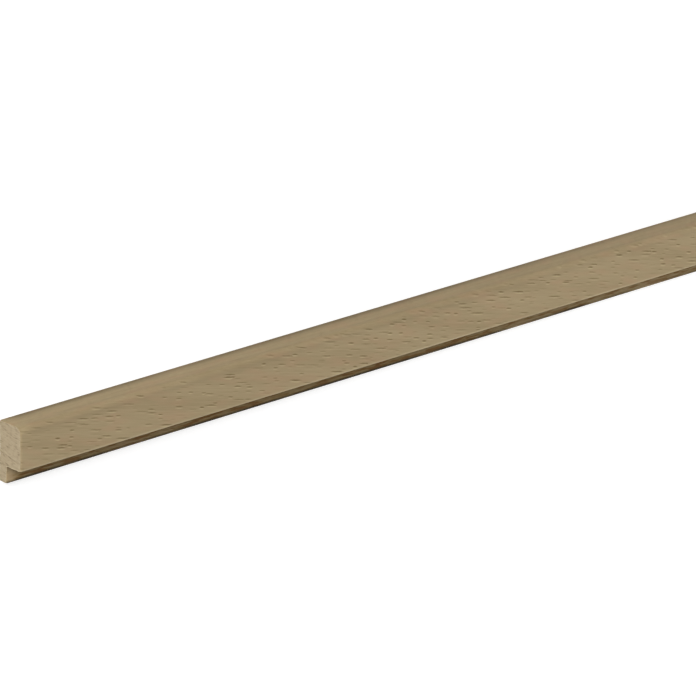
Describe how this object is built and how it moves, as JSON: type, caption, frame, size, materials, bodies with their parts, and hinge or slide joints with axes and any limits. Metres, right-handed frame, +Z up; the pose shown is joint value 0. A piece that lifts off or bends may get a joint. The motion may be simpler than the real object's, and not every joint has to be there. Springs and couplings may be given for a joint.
{
  "type": "grooved edge moulding",
  "caption": "Straight wooden edge moulding with a rounded top arris and an open rebate along its lower face, for capping or framing a panel's edge.",
  "frame": {"origin": "on the surface the moulding lies on, under the middle of its outer box", "axes": "+X along the length, +Y from the foot of the tongue to the rounded top edge, +Z up from the flat back to the face"},
  "size_m": [1, 0.02, 0.01],
  "materials": {
    "planed_beech": "planed, unfinished"
  },
  "bodies": {
    "root": {"moulding": "planed_beech"}
  },
  "joints": []
}
